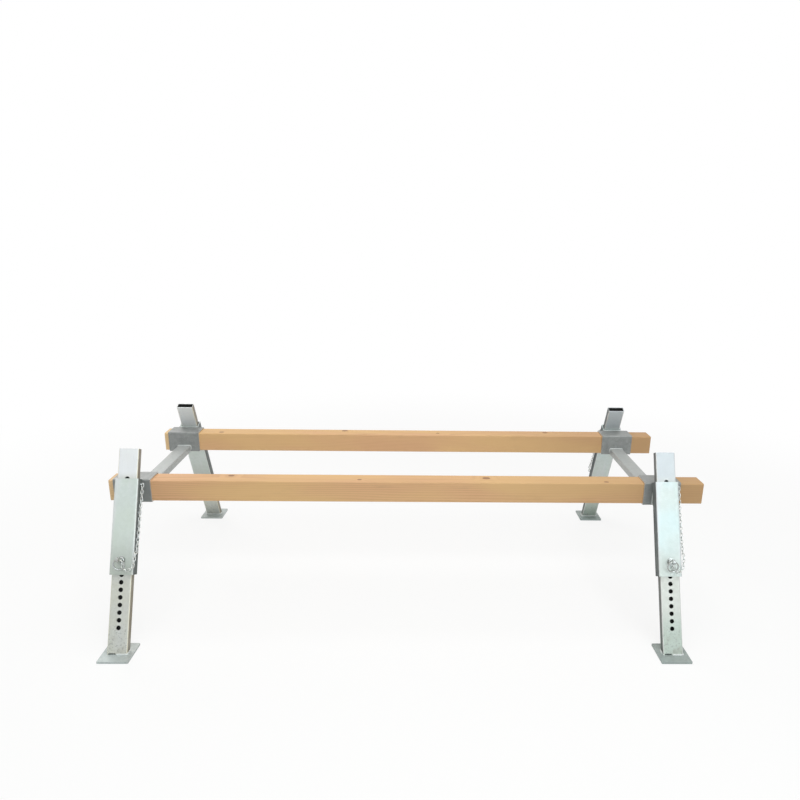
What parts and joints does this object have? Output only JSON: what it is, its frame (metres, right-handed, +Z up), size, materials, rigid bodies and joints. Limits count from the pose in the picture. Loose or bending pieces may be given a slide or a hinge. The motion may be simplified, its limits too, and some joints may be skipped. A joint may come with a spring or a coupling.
{
  "type": "hive stand",
  "caption": "Hive stand of squared timber rails on galvanised end frames, with splayed telescopic legs, foot plates, and lock pins on pull rings and fine chains.",
  "frame": {"origin": "On the floor, under the middle of the rails", "axes": "+X along the rails to the right, -Y to the front, +Z up"},
  "size_m": [1.55, 0.9634, 0.4687],
  "materials": {
    "timber": "planed softwood, oiled",
    "galvanised_steel": "hot-dip galvanised, dull spangle",
    "zinc_hardware": "bright zinc plate"
  },
  "bodies": {
    "stand": {"rail_front": "timber", "rail_rear": "timber", "rail_screws": "zinc_hardware", "crossbar_left": "galvanised_steel", "crossbar_right": "galvanised_steel", "socket_front_left": "galvanised_steel", "socket_front_right": "galvanised_steel", "socket_rear_left": "galvanised_steel", "socket_rear_right": "galvanised_steel", "sleeve_front_left": "galvanised_steel", "sleeve_front_right": "galvanised_steel", "sleeve_rear_left": "galvanised_steel", "sleeve_rear_right": "galvanised_steel", "gussets_front_left": "galvanised_steel", "gussets_front_right": "galvanised_steel", "gussets_rear_left": "galvanised_steel", "gussets_rear_right": "galvanised_steel", "anchor_front_left": "zinc_hardware", "anchor_front_right": "zinc_hardware", "anchor_rear_left": "zinc_hardware", "anchor_rear_right": "zinc_hardware", "chain_front_left": "zinc_hardware", "chain_front_right": "zinc_hardware", "chain_rear_left": "zinc_hardware", "chain_rear_right": "zinc_hardware"},
    "leg_front_left": {"tube_front_left": "galvanised_steel", "foot_front_left": "galvanised_steel"},
    "lock_front_left": {"pin_front_left": "zinc_hardware"},
    "pull_front_left": {"ring_front_left": "zinc_hardware"},
    "leg_front_right": {"tube_front_right": "galvanised_steel", "foot_front_right": "galvanised_steel"},
    "lock_front_right": {"pin_front_right": "zinc_hardware"},
    "pull_front_right": {"ring_front_right": "zinc_hardware"},
    "leg_rear_left": {"tube_rear_left": "galvanised_steel", "foot_rear_left": "galvanised_steel"},
    "lock_rear_left": {"pin_rear_left": "zinc_hardware"},
    "pull_rear_left": {"ring_rear_left": "zinc_hardware"},
    "leg_rear_right": {"tube_rear_right": "galvanised_steel", "foot_rear_right": "galvanised_steel"},
    "lock_rear_right": {"pin_rear_right": "zinc_hardware"},
    "pull_rear_right": {"ring_rear_right": "zinc_hardware"}
  },
  "joints": [
    {"name": "leg_slide_front_left", "type": "slide", "parent": "stand", "child": "leg_front_left", "axis": [0, -0.4226, -0.9063], "range_m": [-0.1665, 0.1665]},
    {"name": "pin_pull_front_left", "type": "slide", "parent": "stand", "child": "lock_front_left", "axis": [0, -0.9063, 0.4226], "range_m": [0, 0.0115], "deforming": ["chain_front_left"]},
    {"name": "ring_swing_front_left", "type": "hinge", "parent": "lock_front_left", "child": "pull_front_left", "pos_m": [-0.715, -0.37922, 0.22625], "axis": [-1, 0, 0], "range_deg": [0, 110]},
    {"name": "leg_slide_front_right", "type": "slide", "parent": "stand", "child": "leg_front_right", "axis": [0, -0.4226, -0.9063], "range_m": [-0.1665, 0.1665]},
    {"name": "pin_pull_front_right", "type": "slide", "parent": "stand", "child": "lock_front_right", "axis": [0, -0.9063, 0.4226], "range_m": [0, 0.0115], "deforming": ["chain_front_right"]},
    {"name": "ring_swing_front_right", "type": "hinge", "parent": "lock_front_right", "child": "pull_front_right", "pos_m": [0.665, -0.37922, 0.22625], "axis": [-1, 0, 0], "range_deg": [0, 110]},
    {"name": "leg_slide_rear_left", "type": "slide", "parent": "stand", "child": "leg_rear_left", "axis": [0, 0.4226, -0.9063], "range_m": [-0.1665, 0.1665]},
    {"name": "pin_pull_rear_left", "type": "slide", "parent": "stand", "child": "lock_rear_left", "axis": [0, 0.9063, 0.4226], "range_m": [0, 0.0115], "deforming": ["chain_rear_left"]},
    {"name": "ring_swing_rear_left", "type": "hinge", "parent": "lock_rear_left", "child": "pull_rear_left", "pos_m": [-0.715, 0.37922, 0.22625], "axis": [1, 0, 0], "range_deg": [0, 110]},
    {"name": "leg_slide_rear_right", "type": "slide", "parent": "stand", "child": "leg_rear_right", "axis": [0, 0.4226, -0.9063], "range_m": [-0.1665, 0.1665]},
    {"name": "pin_pull_rear_right", "type": "slide", "parent": "stand", "child": "lock_rear_right", "axis": [0, 0.9063, 0.4226], "range_m": [0, 0.0115], "deforming": ["chain_rear_right"]},
    {"name": "ring_swing_rear_right", "type": "hinge", "parent": "lock_rear_right", "child": "pull_rear_right", "pos_m": [0.665, 0.37922, 0.22625], "axis": [1, 0, 0], "range_deg": [0, 110]}
  ]
}
